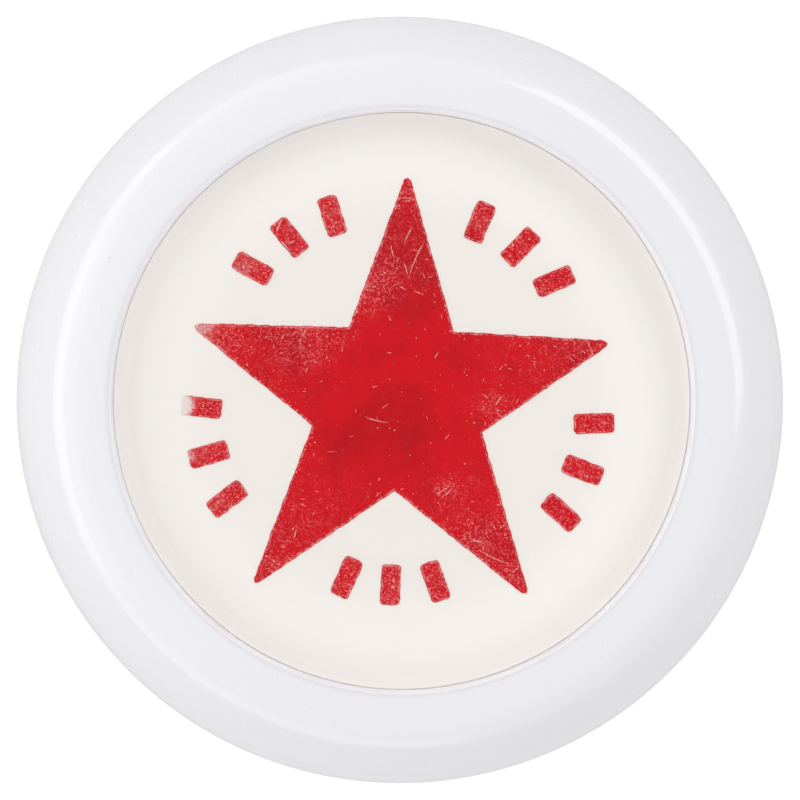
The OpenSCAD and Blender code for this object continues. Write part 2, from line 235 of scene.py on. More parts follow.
def gloss_white():
    """Polished white ABS: faint moulding waves, a little cloudiness, fine hairlines and a few dust specks."""
    s = Surface("white_abs")
    cloud = s.noise(0.16, 2.0)
    tone = s.mix(cloud, (0.735, 0.731, 0.766), (0.758, 0.754, 0.788))
    rare = s.between(s.noise(0.3, 1.0), 0.60, 0.66)
    speck = s.math("MULTIPLY", s.between(s.voronoi(0.42), 0.045, 0.02), rare)
    tone = s.mix(s.math("MULTIPLY", speck, 0.45), tone, (0.50, 0.48, 0.44))
    stretched = s.placed(Scale=(6.0, 0.35, 6.0), Rotation=(0.3, 0.2, 0.9))
    hairs = s.between(s.noise(1.0, 2.0, place=stretched), 0.66, 0.74)
    rough = s.math("ADD", s.between(s.noise(0.5, 3.0), 0.3, 0.7, 0.20, 0.26), s.math("MULTIPLY", hairs, 0.05))
    waves = s.bump(s.noise(0.35, 2.0), 0.010)
    normal = s.bump(hairs, 0.0006, under=waves)
    coat = {"Coat_Weight": 1.0, "Coat_Roughness": 0.09, "Coat_IOR": 1.65}
    return s.done(s.shader(tone, rough, normal, **coat, Subsurface_Weight=0.08, Subsurface_Scale=0.001))


def card_paper():
    """Uncoated off-white card with fine fibres and a few darker flecks, with painted light that makes it a
    little lighter towards its rim, against the shade the recess wall casts there.
    """
    s = Surface("card_paper")
    fibres = s.noise(5.0, 4.0, 0.6, s.placed(Scale=(1.0, 3.5, 1.0), Rotation=(0, 0, 0.4)))
    out = s.add("ShaderNodeVectorMath", {0: s.mm, 1: (1, 1, 0)}, operation="MULTIPLY").outputs[0]
    out = s.add("ShaderNodeVectorMath", {0: out}, operation="LENGTH").outputs["Value"]
    # Painted light: the tone is lifted towards the rim to cancel the shade that the window recess wall throws
    # on the card's edge.
    painted_rim_light = s.between(out, 8.5, 13.6)
    low = s.mix(painted_rim_light, (0.895, 0.859, 0.833), (0.975, 0.940, 0.915))
    high = s.mix(painted_rim_light, (0.910, 0.876, 0.851), (0.985, 0.955, 0.932))
    tone = s.mix(s.between(fibres, 0.3, 0.7), low, high)
    few = s.between(s.noise(0.7, 1.0), 0.62, 0.68)
    fleck = s.math("MULTIPLY", s.between(s.voronoi(0.9), 0.05, 0.02), few)
    tone = s.mix(s.math("MULTIPLY", fleck, 0.5), tone, (0.42, 0.38, 0.33))
    normal = s.bump(fibres, 0.0015)
    return s.done(s.shader(tone, 0.75, normal, Specular_IOR_Level=0.2))


def worn_ink():
    """Red ink stamped on card: soft cloudy reds, mottled and scratched where thin, and bare in places.

    The attribute edge_mm is the distance to the outline. The attributes wear and deep say how much ink
    has come away and how thick it lies.
    """
    s = Surface("worn_ink")
    edge = s.attribute("edge_mm")
    wear = s.attribute("wear")
    thin = s.between(wear, 0.12, 0.65)
    cloud = s.between(s.noise(0.5, 3.0, 0.6), 0.42, 0.64, -0.15, 0.35)
    cloud = s.math("ADD", cloud, s.attribute("deep"), clamp=True)
    red = s.mix(cloud, (0.675, 0.0085, 0.0165), (0.500, 0.0085, 0.0150))
    grain = s.noise(8.0, 2.0, 0.6)
    dark_share = s.math("ADD", s.math("MULTIPLY", thin, 0.55), 0.12)
    red = s.mix(s.math("MULTIPLY", s.between(grain, 0.47, 0.62), dark_share), red, (0.38, 0.010, 0.018))
    red = s.mix(s.between(edge, 0.25, 0.05, 0.0, 0.25), red, (0.50, 0.010, 0.017))
    bare = (0.86, 0.70, 0.66)
    blush = (0.79, 0.17, 0.18)

    # Mottling at the size of the card's fibres, and a brushed haze where much of the ink is gone
    mottle = s.noise(9.0, 2.0, 0.6, s.placed(Location=(9.0, 5.0, 2.0)))
    red = s.mix(s.math("MULTIPLY", s.between(mottle, 0.50, 0.60), thin), red, (0.76, 0.050, 0.065))
    pale = s.math("MULTIPLY", s.between(mottle, 0.57, 0.68), s.between(wear, 0.30, 0.80, 0.0, 0.65))
    red = s.mix(pale, red, (0.81, 0.25, 0.25))
    cloudy = s.math("ADD", s.noise(1.7, 5.0, 0.7), s.math("MULTIPLY", wear, 0.22))
    haze = s.between(cloudy, 0.62, 0.90, 0.0, 0.55)
    fine = s.between(s.noise(11.0, 3.0, 0.65), 0.42, 0.60, 0.15, 1.0)
    colour = s.mix(s.math("MULTIPLY", haze, fine), red, blush)

    # Hairline curls, broken into short lengths
    for scale, shift, width in ((1.1, 0.0, 0.010), (2.0, 40.0, 0.014)):
        place = s.placed(Location=(shift, shift, 0))
        level = s.math("ABSOLUTE", s.math("SUBTRACT", s.noise(scale, 2.0, 0.5, place), 0.5))
        curl = s.between(level, width, width * 0.3)
        gaps = s.between(s.noise(2.3, 2.0, 0.5, place), 0.52, 0.60)
        share = s.math("MULTIPLY", s.math("MULTIPLY", curl, gaps), s.between(wear, 0.15, 0.6, 0.03, 0.60))
        colour = s.mix(share, colour, (0.79, 0.27, 0.26))

    # Straight scratches in four directions
    for turn, shift in ((0.35, 3.0), (1.15, 11.0), (1.95, 19.0), (2.75, 27.0)):
        turned_to = s.add("ShaderNodeVectorRotate", {"Vector": s.mm, "Angle": turn}, rotation_type="Z_AXIS")
        place = s.placed(turned_to.outputs[0], Location=(shift, shift, 0), Scale=(0.7, 13.0, 1.0))
        streak = s.between(s.noise(1.0, 1.0, 0.5, place), 0.735, 0.80)
        share = s.math("MULTIPLY", streak, s.between(wear, 0.15, 0.6, 0.04, 0.60))
        colour = s.mix(share, colour, (0.81, 0.33, 0.31))

    # Small specks of bare card: one in a few cells, more where it is worn and along the outline
    lift = s.math("ADD", s.between(wear, 0.12, 1.0, 0.0, 0.30), s.between(edge, 0.30, 0.08, 0.0, 0.13))
    for scale, few, size in ((2.6, 0.985, 0.12), (5.0, 0.965, 0.17), (8.0, 0.92, 0.22)):
        cell = s.add("ShaderNodeTexVoronoi", {"Vector": s.mm, "Scale": scale})
        pick = s.add("ShaderNodeSeparateColor", {0: cell.outputs["Color"]})
        chosen = s.between(s.math("ADD", pick.outputs[0], lift), few, few + 0.06)
        radius = s.math("MULTIPLY", s.math("ADD", pick.outputs[1], 0.35), size)
        dot = s.between(s.math("SUBTRACT", radius, cell.outputs["Distance"]), 0.0, size * 0.35)
        strong = s.math("ADD", pick.outputs[2], 0.1)
        share = s.math("MULTIPLY", s.math("MULTIPLY", dot, chosen), strong, clamp=True)
        colour = s.mix(share, colour, bare)

    broken = s.between(s.noise(5.2, 3.0, 0.65), 0.46, 0.58, 0.05, 0.85)
    off_ridge = s.math("ABSOLUTE", s.math("SUBTRACT", edge, 0.07))
    ridge = s.math("MULTIPLY", s.between(off_ridge, 0.045, 0.01), broken)
    colour = s.mix(ridge, colour, (0.82, 0.36, 0.35))
    gone = s.between(s.math("ADD", wear, s.math("MULTIPLY", grain, 0.9)), 1.55, 2.15, 0.0, 0.95)
    colour = s.mix(gone, colour, (0.87, 0.79, 0.76))
    normal = s.bump(grain, 0.004)
    return s.done(s.shader(colour, 0.6, normal, Specular_IOR_Level=0.08))


def scratch_pale():
    """The card's fibres showing through a scratch, still stained pink."""
    s = Surface("scratch_pale")
    tone = s.mix(s.between(s.noise(6.0, 2.0), 0.38, 0.62), (0.80, 0.30, 0.28), (0.87, 0.64, 0.60))
    return s.done(s.shader(tone, 0.7, Specular_IOR_Level=0.1))


def clear_acrylic(name, tint, roughness):
    """Clear plastic seen through almost freely, with a gloss that grows at grazing angles."""
    s = Surface(name)
    faint = s.bump(s.noise(0.25, 2.0), 0.004)
    through = s.add("ShaderNodeBsdfTransparent", {"Color": (*tint, 1)}).outputs[0]
    skin = {"Color": (1, 1, 1, 1), "Roughness": roughness, "Normal": faint}
    gloss = s.add("ShaderNodeBsdfGlossy", skin).outputs[0]
    facing = s.add("ShaderNodeLayerWeight", {"Blend": 0.5, "Normal": faint}).outputs["Facing"]
    share = s.math("ADD", s.math("MULTIPLY", s.math("POWER", facing, 5.0), 0.9), 0.035)
    return s.done(s.add("ShaderNodeMixShader", {0: share, 1: through, 2: gloss}).outputs[0])


def frosted_cap():
    """Translucent polypropylene with a satin skin and faint flow marks that run round it."""
    s = Surface("frosted_pp")
    flow = s.noise(0.22, 3.0, 0.5, s.placed(Scale=(1.0, 1.0, 3.0)))
    tone = s.mix(flow, (0.74, 0.78, 0.82), (0.86, 0.89, 0.92))
    rough = s.between(s.noise(1.5, 3.0), 0.3, 0.7, 0.20, 0.32)
    normal = s.bump(flow, 0.03)
    return s.done(s.shader(tone, rough, normal, Alpha=0.55, Coat_Weight=0.5, Coat_Roughness=0.12))


def moulded(name, dark, light, roughness, grain=8.0, depth=0.006):
    """Matte moulded plastic or rubber: two close tones, fine grain and uneven sheen."""
    s = Surface(name)
    tone = s.mix(s.noise(0.45, 4.0, 0.6), dark, light)
    tone = s.mix(s.between(s.noise(grain, 3.0), 0.45, 0.75, 0.0, 0.25), tone, dark)
    rough = s.between(s.noise(1.2, 3.0), 0.3, 0.7, roughness - 0.06, roughness + 0.06)
    normal = s.bump(s.noise(grain, 4.0, 0.6), depth)
    return s.done(s.shader(tone, rough, normal))


def porous_die():
    """Microporous rubber soaked with red ink: dark and damp, with open pores that carry painted shade."""
    s = Surface("porous_die")
    pores = s.voronoi(7.0)
    pit = s.between(pores, 0.32, 0.12)
    tone = s.mix(s.noise(0.5, 3.0), (0.36, 0.012, 0.018), (0.50, 0.020, 0.026))
    # Painted shade: the pores, which the bump sinks, are also painted near black.
    tone = s.mix(s.math("MULTIPLY", pit, 0.7), tone, (0.14, 0.004, 0.008))
    rough = s.between(s.noise(1.4, 3.0), 0.35, 0.65, 0.26, 0.48)
    normal = s.bump(s.math("SUBTRACT", s.noise(4.0, 2.0), pit), 0.03)
    return s.done(s.shader(tone, rough, normal))


def inked_felt():
    """Felt soaked with ink: matted fibres, with painted shade that makes them nearly black in the hollows."""
    s = Surface("inked_felt")
    fibres = s.noise(3.5, 6.0, 0.75, s.placed(Scale=(1.0, 1.0, 3.0)))
    # Painted shade: the tone uses the same fibre pattern as the bump, darkest where the fibres lie low.
    tone = s.mix(s.between(fibres, 0.35, 0.65), (0.09, 0.003, 0.006), (0.34, 0.010, 0.016))
    normal = s.bump(fibres, 0.12)
    return s.done(s.shader(tone, 0.85, normal, Sheen_Weight=0.35, Sheen_Roughness=0.5))


def steel(name, roughness, along=(0.4, 0.4, 9.0)):
    """Drawn or turned steel with fine lines that run round the part."""
    s = Surface(name)
    lines = s.noise(2.0, 4.0, 0.7, s.placed(Scale=along))
    tone = s.mix(lines, (0.50, 0.50, 0.52), (0.68, 0.68, 0.69))
    rough = s.between(lines, 0.3, 0.7, roughness - 0.07, roughness + 0.09)
    normal = s.bump(lines, 0.003)
    return s.done(s.shader(tone, rough, normal, Metallic=1.0))


WHITE = gloss_white()
PAPER = card_paper()
INK = worn_ink()
SCRATCH = scratch_pale()
WINDOW = clear_acrylic("window_clear", (0.995, 0.995, 0.99), 0.03)
# Painted shade: the bevel's see-through tint is a little darker than the face's, standing in for the darker
# look that refraction gives the bevel.
WINDOW_EDGE = clear_acrylic("window_edge", (0.988, 0.986, 0.984), 0.08)
FROSTED = frosted_cap()
INNER = moulded("inner_acetal", (0.62, 0.63, 0.64), (0.74, 0.75, 0.76), 0.42)
# Painted light: the window recess is the ring's own white ABS, given a far lighter tone to cancel the shade
# that falls inside the recess.
RECESS_LIGHTENED = moulded("recess_painted_light", (0.93, 0.93, 0.945), (0.96, 0.96, 0.97), 0.6)
GREY = moulded("grey_acetal", (0.30, 0.31, 0.33), (0.38, 0.39, 0.41), 0.45)
SOFT = moulded("soft_rubber", (0.10, 0.10, 0.11), (0.16, 0.16, 0.17), 0.62, grain=5.0, depth=0.015)
DIE = porous_die()
FELT = inked_felt()
SPRING_STEEL = steel("spring_steel", 0.26, along=(3.0, 3.0, 3.0))
ZINC = steel("zinc_steel", 0.34)


# ---------------------------------------------------------------- knob

crown_low, top, knob_r = span("knob_crown")
lap_top = span("knob_base")[1]
lens_top = span("index_lens")[1]
card_low, card_top, _ = span("index_card")
piston_top = span("piston")[1]
RECESS_R = span("index_lens")[2] - 0.13
WINDOW_R = RECESS_R - 0.015
SEAM = 0.15
KNOB_WALL = 1.65
RIM_ROUND = 2.2
split = lap_top - 1.9
recess_floor = card_low - 0.02
deck_low = recess_floor - 1.8
head_seat = recess_floor - 2.4
neck_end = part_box("knob_base")[0].z / MM


def make_crown():
    """The white ring round the window, with the deck, hub and screw boss that it carries inside."""
    land = slope_arc((RECESS_R + 0.25, top), 11.0, 3, 12, 10)
    edge = slope_arc(land[-1], RIM_ROUND, 12, 50, 16)
    flank_r = (knob_r - edge[-1][0]) / (1 - math.sin(math.radians(50)))
    flank = slope_arc(edge[-1], flank_r, 50, 90, 28)
    centre = (knob_r - flank_r, flank[-1][1])
    inside = [(math.radians(38 * (1 - k / 10))) for k in range(11)]
    hollow_r = flank_r - KNOB_WALL
    hollow = [(centre[0] + hollow_r * math.cos(a), centre[1] + hollow_r * math.sin(a)) for a in inside]
    hub = soften(
        [
            (1.7, piston_top, 0),
            (5.2, piston_top, 0.2),
            (5.2, deck_low, 0.4),
            (11.1, deck_low, 0.4),
            (11.1, crown_low, 0.15),
            (13.6, crown_low, 0.15),
            (13.6, deck_low, 0.4),
            (RECESS_R + 1.3, deck_low, 0.2),
            (RECESS_R + 1.3, hollow[0][1], 0.1),
            (hollow[0][0], hollow[0][1], 0.1),
        ],
        4,
    )
    lip = soften(
        [
            (knob_r - KNOB_WALL, split, 0.1),
            (knob_r - SEAM, split, 0.05),
            (knob_r, split + SEAM, 0.1),
            (flank[-1][0], flank[-1][1], 0),
        ],
        3,
    )
    recess = soften(
        [
            (RECESS_R + 0.25, top, 0),
            (RECESS_R + 0.13, top - 0.005, 0.1),
            (RECESS_R, top - 0.2, 0.03),
            (RECESS_R, top - 0.9, 0.03),
            (RECESS_R + 0.2, top - 1.1, 0.03),
            (RECESS_R + 0.2, top - 1.4, 0.03),
            (RECESS_R, top - 1.6, 0.03),
            (RECESS_R, recess_floor, 0.15),
            (4.0, recess_floor, 0.1),
            (4.0, head_seat, 0.1),
            (1.7, head_seat, 0.05),
        ],
        5,
    )
    bm = turned(hub + hollow[1:] + lip[:-1] + flank[::-1] + edge[-2::-1] + land[-2:0:-1] + recess, 256)
    # Faces inside the window recess take the lightened recess material, which is painted light against the
    # shade there.
    for face in bm.faces:
        middle = face.calc_center_median() / MM
        low_enough = recess_floor - 0.1 < middle.z < top - 0.2
        in_recess = low_enough and math.hypot(middle.x, middle.y) < RECESS_R + 0.25
        face.material_index = 1 if in_recess else 0
    for k in range(6):
        a = math.radians(30 + 60 * k)
        for r0, r1, z0 in ((13.4, knob_r - 1.4, lap_top + 0.2), (5.0, 11.3, piston_top + 1.2)):
            corners = [(r0, -0.5), (r1, -0.5), (r1, 0.5), (r0, 0.5)]
            c, s = math.cos(a), math.sin(a)
            prism(bm, [(x * c - y * s, x * s + y * c) for x, y in corners], z0, deck_low + 0.05)
    return finish_mesh("knob_crown_shell", bm, [WHITE, RECESS_LIGHTENED], "plunger", ["knob_crown"])


def make_base():
    """The lower half of the knob, its lap joint and the neck that slides in the skirt."""
    under_r = 4.6
    under_z = split - 0.4
    centre = knob_r - under_r
    bulge = [
        (centre + under_r * math.cos(a), under_z + under_r * math.sin(a))
        for a in (math.radians(-90 + 90 * k / 28) for k in range(29))
    ]
    low = bulge[0][1]
    inside = [
        (centre + 3 * math.cos(a), under_z + 3 * math.sin(a))
        for a in (math.radians(-50 - 40 * k / 8) for k in range(9))
    ]
    neck = soften(
        [
            (13.9, low, 0.2),
            (13.9, neck_end, 0.2),
            (15.0, neck_end, 0.3),
            (15.0, low, 0.35),
            (bulge[0][0], low, 0),
        ],
        5,
    )
    lap_r = knob_r - 1.7
    lap = soften(
        [
            (knob_r, under_z, 0),
            (knob_r, split - SEAM, 0.1),
            (knob_r - SEAM, split, 0.05),
            (lap_r, split, 0.05),
            (lap_r, lap_top, 0.3),
            (lap_r - 1, lap_top, 0.2),
            (inside[0][0], inside[0][1], 0),
        ],
        3,
    )
    flange = soften([(inside[-1][0], inside[-1][1], 0), (12.1, low + 1.6, 0.2), (12.1, low, 0.2)], 4)
    bm = turned(neck[:-1] + bulge[:-1] + lap[:-1] + inside + flange[1:], 256)
    return finish_mesh("knob_base_shell", bm, WHITE, "plunger", ["knob_base"])


def make_window():
    """The clear disc, with a polished bevel round its face and a snap bead on its side."""
    low = span("index_lens")[0]
    outline = soften(
        [
            (0, low, 0),
            (WINDOW_R - 0.25, low, 0.05),
            (WINDOW_R, low + 0.25, 0.05),
            (WINDOW_R, top - 1.55, 0.03),
            (WINDOW_R + 0.18, top - 1.35, 0.05),
            (WINDOW_R + 0.18, top - 1.15, 0.05),
            (WINDOW_R, top - 0.95, 0.03),
            (WINDOW_R, lens_top - 0.18, 0.03),
            (WINDOW_R - 0.8, lens_top, 0.1),
            (0, lens_top, 0),
        ],
        5,
    )
    bm = turned(outline, 256)
    for face in bm.faces:
        middle = face.calc_center_median() / MM
        # Bevel and side faces take the window edge material, with its painted shade.
        face.material_index = 1 if math.hypot(middle.x, middle.y) > WINDOW_R - 0.85 else 0
    return finish_mesh(
        "index_window", bm, [WINDOW, WINDOW_EDGE], "plunger", ["index_lens"], sharp_deg=20
    )


def make_card():
    """The index card, punched with a slightly rolled edge."""
    edge = RECESS_R - 0.02
    outline = soften([(0, card_low, 0), (edge, card_low, 0.04), (edge, card_top, 0.05), (0, card_top, 0)], 4)
    return finish_mesh("index_card_disc", turned(outline), PAPER, "plunger", ["index_card"])


# ---------------------------------------------------------------- the printed design

STAR_R = 12.0
STAR_WAIST = 0.385
TIP_CUT = 0.55
TURN = 2.4
LEG_STRETCH = 0.03  # the two lower arms are this share longer than STAR_R, the two side arms shorter
DESIGN_AT = Vector((-0.18, -0.03))
RAY_OUT = 10.2
RAY_STEP = 14
RAY_FAN = 22
LOW_GROUP_IN = 0.7  # the lowest group of ray marks lies this much further in
UPPER_LEAN = 6  # the marks of the two upper groups lean away from the top arm by this many degrees
RAY_L = 2.1
RAY_W = 1.03
RAY_CORNER = 0.2
INK_LAYERS = ("edge_mm", "wear", "deep")
rng = random.Random(7)

# Places where the ink has come away: x, y, reach and strength
WORN = [
    (-10.4, 4.0, 1.5, 1.0),
    (0.3, 11.2, 0.9, 0.7),
    (-4.6, 3.6, 1.6, 0.55),
    (-1.6, 6.0, 1.3, 0.55),
    (-7.2, -8.9, 1.1, 0.45),
    (6.2, -9.6, 1.0, 0.5),
    (3.6, -7.4, 1.1, 0.45),
    (2.4, -4.6, 0.8, 0.4),
    (10.2, 3.2, 1.0, 0.3),
    (4.6, -0.4, 1.0, 0.35),
    (-11.5, -0.2, 0.8, 1.5),
    (-11.2, -2.9, 0.5, 0.7),
    (-8.1, 6.9, 0.9, 0.6),
    (-5.9, 8.4, 0.9, 0.3),
    (-3.8, 9.7, 0.9, 0.5),
    (4.4, 9.3, 0.8, 0.3),
    (6.5, 7.9, 0.8, 0.35),
    (-10.2, -2.8, 0.8, 0.45),
    (-9.4, -5.1, 0.9, 0.5),
    (-2.8, -9.2, 0.7, 0.3),
    (-0.1, -9.2, 0.8, 0.3),
    (2.4, -9.4, 0.7, 0.35),
]


# Places where the ink lies thick and looks deeper red, in the same form
DEEP = [
    (0.0, 7.8, 2.9, 1.1),
    (-0.5, -1.6, 1.9, 0.8),
    (9.4, 2.9, 1.5, 0.8),
    (-5.8, 3.0, 1.5, 0.7),
    (5.1, -7.4, 1.6, 0.6),
    (-3.4, -2.2, 1.2, 0.5),
    (3.4, 1.6, 1.1, 0.3),
]


def spread(places, x, y):
    """The sum at x, y of soft round spots."""
    total = 0
    for px, py, reach, strength in places:
        total += strength * math.exp(-((x - px) ** 2 + (y - py) ** 2) / reach**2)
    return total


def wear_at(x, y):
    """How much ink is gone at a place, from 0 to 2. The middle of the star is the least worn."""
    out = math.hypot(x, y)
    return min(2.0, 0.12 + 0.28 * min(1, max(0, (out - 3.2) / 5)) + spread(WORN, x, y))


def ragged(points, spacing, amount):
    """The outline cut into short steps, each pushed in or out a little, as ink does on card."""
    out = []
    for k, here in enumerate(points):
        along = points[(k + 1) % len(points)] - here
        steps = max(1, round(along.length / spacing))
        side = Vector((along.y, -along.x)).normalized()
        for j in range(steps):
            p = here + along * j / steps
            slow = noise.noise(Vector((p.x * 2.7, p.y * 2.7, 0.3)))
            quick = noise.noise(Vector((p.x * 8, p.y * 8, 4.0)))
            out.append(p + side * (amount * (slow + 0.8 * quick)))
    return out


def polar(r, degrees):
    return Vector((r * math.cos(math.radians(degrees)), r * math.sin(math.radians(degrees))))


def star_points(scale=1.0):
    """The star about its own centre, in mm: its points are rounded off TIP_CUT back along their sides."""
    shares = (1, 1 - LEG_STRETCH, 1 + LEG_STRETCH, 1 + LEG_STRETCH, 1 - LEG_STRETCH)
    inner = [polar(STAR_R * STAR_WAIST, 54 - TURN - 72 * i) * scale for i in range(5)]
    points = []
    for i, share in enumerate(shares):
        end = polar(STAR_R * share, 90 - TURN - 72 * i) * scale
        before, after = inner[i - 1] - end, inner[i] - end
        first, last = end + before.normalized() * TIP_CUT, end + after.normalized() * TIP_CUT
        points += [first, end * 0.25 + (first + last) * 0.375, last, inner[i]]
    return points


def ray_points(inset=0.0):
    """One ray mark, rounded at its corners, lying along X and shrunk by inset on every side."""
    half_l, half_w = RAY_L / 2 - inset, RAY_W / 2 - inset
    points = []
    for cx, cy, start in ((1, 1, 0), (-1, 1, 90), (-1, -1, 180), (1, -1, 270)):
        middle = Vector((cx * (half_l - RAY_CORNER), cy * (half_w - RAY_CORNER)))
        points += [middle + polar(RAY_CORNER, start + 22.5 * k) for k in range(5)]
    return points


def ray_marks(inset=0.0):
    """The fifteen ray marks, in five groups of three that fan out from the star."""
    marks = []
    for group, lean in enumerate((-UPPER_LEAN, 0, 0, 0, UPPER_LEAN)):
        middle = 54 - TURN - 72 * group
        out = RAY_OUT - LOW_GROUP_IN if group == 2 else RAY_OUT
        for mark in (-1, 0, 1):
            at = polar(out, middle + RAY_STEP * mark)
            a = math.radians(middle + lean + RAY_FAN * mark)
            c, s = math.cos(a), math.sin(a)
            marks.append([Vector((p.x * c - p.y * s, p.x * s + p.y * c)) + at for p in ray_points(inset)])
    return marks


def reach_to(points, p):
    """Distance from p to the nearest side of a closed outline."""
    best = 99.0
    for k, a in enumerate(points):
        side = points[(k + 1) % len(points)] - a
        t = max(0.0, min(1.0, (p - a).dot(side) / side.length_squared))
        best = min(best, (a + side * t - p).length)
    return best


def is_inside(points, p):
    crossings = 0
    for k, a in enumerate(points):
        b = points[(k + 1) % len(points)]
        if (a.y > p.y) != (b.y > p.y) and p.x < a.x + (b.x - a.x) * (p.y - a.y) / (b.y - a.y):
            crossings += 1
    return crossings % 2 == 1


def ink_film(bm, plain, grid, low, high, thin=0.0):
    """A thin film of ink over an outline. Its edge is ragged, and its points know how far in they lie."""
    edge, wear, deep = (bm.verts.layers.float.get(name) for name in INK_LAYERS)
    rim = ragged(plain, 0.1, 0.04)
    points = list(rim)
    for depth in (0.04, 0.08, 0.12, 0.2, 0.35):
        for k, here in enumerate(rim):
            along = (rim[(k + 1) % len(rim)] - rim[k - 1]).normalized()
            p = here + Vector((-along.y, along.x)) * depth
            if is_inside(rim, p) and reach_to(plain, p) > depth * 0.6:
                points.append(p)
    box = [(min(p[i] for p in rim), max(p[i] for p in rim)) for i in (0, 1)]
    steps = [int((hi - lo) / grid) for lo, hi in box]
    for i in range(1, steps[0]):
        for j in range(1, steps[1]):
            p = Vector((box[0][0] + i * grid, box[1][0] + (j + 0.5 * (i % 2)) * grid))
            if is_inside(plain, p) and reach_to(plain, p) > 0.45:
                points.append(p)
    sides = [(k, (k + 1) % len(rim)) for k in range(len(rim))]
    flat, _, faces, _, _, _ = geometry.delaunay_2d_cdt(points, sides, [], 1, 1e-5)
    top, foot = [], []
    for p in flat:
        place = p + DESIGN_AT
        away = reach_to(rim, p)
        for made, z in ((top, high), (foot, low)):
            v = bm.verts.new((place.x * MM, place.y * MM, z * MM))
            v[edge] = away
            v[wear] = wear_at(place.x, place.y) + thin
            v[deep] = spread(DEEP, place.x, place.y)
            made.append(v)
    sides = {}
    for face in faces:
        bm.faces.new([top[k] for k in face])
        bm.faces.new([foot[k] for k in reversed(face)])
        for k, a in enumerate(face):
            b = face[(k + 1) % len(face)]
            if sides.pop((b, a), None) is None:
                sides[(a, b)] = True
    for a, b in sides:
        bm.faces.new([foot[a], foot[b], top[b], top[a]])


def make_print():
    """The star and its fifteen ray marks as a thin film of ink on the card."""
    bm = bmesh.new()
    for name in INK_LAYERS:
        bm.verts.layers.float.new(name)
    ink_film(bm, star_points(), 0.5, card_top, card_top + 0.03)
    for mark in ray_marks():
        ink_film(bm, mark, 0.25, card_top, card_top + 0.03, 0.25)
    return finish_mesh("index_ink", bm, INK, "plunger", ["index_print"], sharp_deg=60)


# The longest scratches in the star: two ends in mm and a width
LONG_SCRATCHES = [
    ((0.55, 9.05), (0.10, 8.10), 0.050),
    ((1.20, 8.30), (0.35, 6.35), 0.044),
    ((0.10, 7.20), (0.30, 6.50), 0.044),
    ((-0.55, 8.10), (-0.40, 7.40), 0.044),
    ((-0.15, 5.95), (0.25, 5.75), 0.034),
    ((0.65, 5.70), (1.15, 5.50), 0.034),
    ((-1.95, -0.80), (-0.62, -1.12), 0.040),
    ((1.75, -4.85), (2.45, -4.45), 0.044),
    ((2.15, -4.95), (2.60, -4.50), 0.040),
    ((3.55, -7.15), (4.30, -7.40), 0.040),
    ((4.25, -7.50), (4.20, -7.75), 0.040),
    ((4.05, -7.75), (5.80, -8.50), 0.034),
    ((-5.60, -7.15), (-5.45, -6.60), 0.044),
    ((4.85, -0.25), (5.25, 0.30), 0.044),
    ((-6.20, 9.40), (-6.50, 8.65), 0.075),
    ((-6.20, 8.30), (-5.60, 7.50), 0.075),
    ((-6.25, 8.20), (-5.65, 7.55), 0.04),
    ((-5.90, 8.10), (-5.50, 8.30), 0.06),
]


def sliver(bm, start, end, width, z):
    """A thin pointed strip from start to end, with a slight bow."""
    start, end = Vector(start), Vector(end)
    along = end - start
    side = Vector((-along.y, along.x)).normalized()
    bow = side * along.length * rng.uniform(-0.05, 0.05)
    third, two_thirds = start + along * 0.3 + bow, start + along * 0.7 + bow
    half = side * width / 2
    points = [start, third - half, two_thirds - half * 0.8, end, two_thirds + half * 0.8, third + half]
    prism(bm, [(p.x, p.y) for p in points], z, z + 0.006)


def in_star(x, y, margin):
    """True where a point lies inside the star by at least margin."""
    p = Vector((x, y)) - DESIGN_AT
    points = star_points()
    return is_inside(points, p) and reach_to(points, p) >= margin


def make_scratches():
    """Scratches and nicks in the ink, drawn as slivers of bare card."""
    bm = bmesh.new()
    z = card_top + 0.03
    for start, end, width in LONG_SCRATCHES:
        sliver(bm, start, end, width, z)
    made = 0
    while made < 90:
        x, y = rng.uniform(-12, 12), rng.uniform(-11, 12)
        if not in_star(x, y, 0.2) or rng.random() > wear_at(x, y):
            continue
        length = rng.uniform(0.12, 0.45)
        step = polar(length / 2, rng.uniform(0, 180))
        if in_star(x + step.x, y + step.y, 0.05) and in_star(x - step.x, y - step.y, 0.05):
            sliver(bm, (x - step.x, y - step.y), (x + step.x, y + step.y), rng.uniform(0.014, 0.03), z)
            made += 1
    return finish_mesh("ink_scratches", bm, SCRATCH, "plunger")


# ---------------------------------------------------------------- skirt and cap


